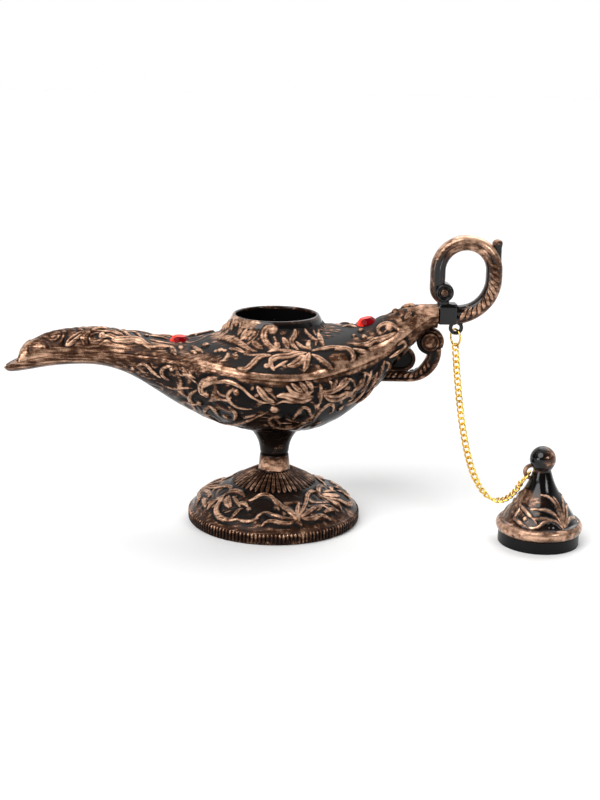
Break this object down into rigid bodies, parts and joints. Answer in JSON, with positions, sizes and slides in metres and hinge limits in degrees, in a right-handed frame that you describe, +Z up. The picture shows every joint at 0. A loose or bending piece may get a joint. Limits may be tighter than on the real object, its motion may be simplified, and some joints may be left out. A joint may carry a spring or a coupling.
{
  "type": "genie oil lamp",
  "caption": "Boat-shaped genie oil lamp with a long spout, round foot, finger-ring handle and scroll, red stones, and a bell-shaped lid on a chain.",
  "frame": {"origin": "centre of the foot's rim, on the surface that the lamp stands on", "axes": "+Z up, -X along the spout, +X along the ring handle, -Y towards the side that the picture shows"},
  "size_m": [0.2767, 0.0912, 0.1411],
  "materials": {
    "antique_bronze": "black moulded plastic rubbed with bronze on the raised ornament",
    "black_plastic": "matt moulded black",
    "red_stone": "facetted, clear red with a foiled back",
    "gold_chain": "polished gold plate",
    "plated_steel": "bright zinc"
  },
  "bodies": {
    "root": {"foot": "antique_bronze", "foot_washer": "plated_steel", "foot_screw": "plated_steel", "lower_shell": "antique_bronze", "upper_shell": "antique_bronze", "front_gem": "red_stone", "rear_gem": "red_stone", "ring_handle": "antique_bronze", "rear_scroll": "antique_bronze", "inner_curl": "antique_bronze"},
    "top_ring": {"handle_ring": "gold_chain"},
    "chain_1_links": {"chain_1": "gold_chain"},
    "chain_2_links": {"chain_2": "gold_chain"},
    "chain_3_links": {"chain_3": "gold_chain"},
    "chain_4_links": {"chain_4": "gold_chain"},
    "chain_5_links": {"chain_5": "gold_chain"},
    "chain_6_links": {"chain_6": "gold_chain"},
    "chain_7_links": {"chain_7": "gold_chain"},
    "chain_8_links": {"chain_8": "gold_chain"},
    "chain_9_links": {"chain_9": "gold_chain"},
    "end_ring": {"lid_ring": "gold_chain"},
    "lid": {"lid_cap": "antique_bronze", "lid_plug": "black_plastic"}
  },
  "joints": [
    {"name": "top_ring_swing", "type": "hinge", "parent": "root", "child": "top_ring", "pos_m": [0.0861, 0, 0.09585], "axis": [0.454, -0.891, 0], "range_deg": [-20, 20]},
    {"name": "chain_1_bend", "type": "hinge", "parent": "top_ring", "child": "chain_1_links", "pos_m": [0.0861, 0, 0.08843], "axis": [-0.652, -0.7583, 0], "range_deg": [-4, 12]},
    {"name": "chain_2_bend", "type": "hinge", "parent": "chain_1_links", "child": "chain_2_links", "pos_m": [0.08715, -0.0009, 0.0774], "axis": [-0.652, -0.7583, 0], "range_deg": [-4, 12]},
    {"name": "chain_3_bend", "type": "hinge", "parent": "chain_2_links", "child": "chain_3_links", "pos_m": [0.08838, -0.00196, 0.0664], "axis": [-0.652, -0.7583, 0], "range_deg": [-4, 12]},
    {"name": "chain_4_bend", "type": "hinge", "parent": "chain_3_links", "child": "chain_4_links", "pos_m": [0.08986, -0.00323, 0.05545], "axis": [-0.652, -0.7583, 0], "range_deg": [-4, 12]},
    {"name": "chain_5_bend", "type": "hinge", "parent": "chain_4_links", "child": "chain_5_links", "pos_m": [0.09171, -0.00482, 0.0446], "axis": [-0.652, -0.7583, 0], "range_deg": [-4, 12]},
    {"name": "chain_6_bend", "type": "hinge", "parent": "chain_5_links", "child": "chain_6_links", "pos_m": [0.09418, -0.00695, 0.03398], "axis": [-0.652, -0.7583, 0], "range_deg": [-4, 12]},
    {"name": "chain_7_bend", "type": "hinge", "parent": "chain_6_links", "child": "chain_7_links", "pos_m": [0.09784, -0.0101, 0.02398], "axis": [-0.652, -0.7583, 0], "range_deg": [-4, 12]},
    {"name": "chain_8_bend", "type": "hinge", "parent": "chain_7_links", "child": "chain_8_links", "pos_m": [0.10405, -0.01543, 0.01674], "axis": [-0.652, -0.7583, 0], "range_deg": [-4, 12]},
    {"name": "chain_9_bend", "type": "hinge", "parent": "chain_8_links", "child": "chain_9_links", "pos_m": [0.11191, -0.02219, 0.01895], "axis": [-0.652, -0.7583, 0], "range_deg": [-4, 12]},
    {"name": "end_ring_swing", "type": "hinge", "parent": "chain_9_links", "child": "end_ring", "pos_m": [0.11689, -0.02647, 0.02783], "axis": [-0.652, -0.7583, 0], "range_deg": [-1, 12]},
    {"name": "lid_swing", "type": "hinge", "parent": "end_ring", "child": "lid", "pos_m": [0.1205, -0.029, 0.0338], "axis": [-0.3784, -0.9121, -0.1576], "range_deg": [-1, 25]}
  ]
}
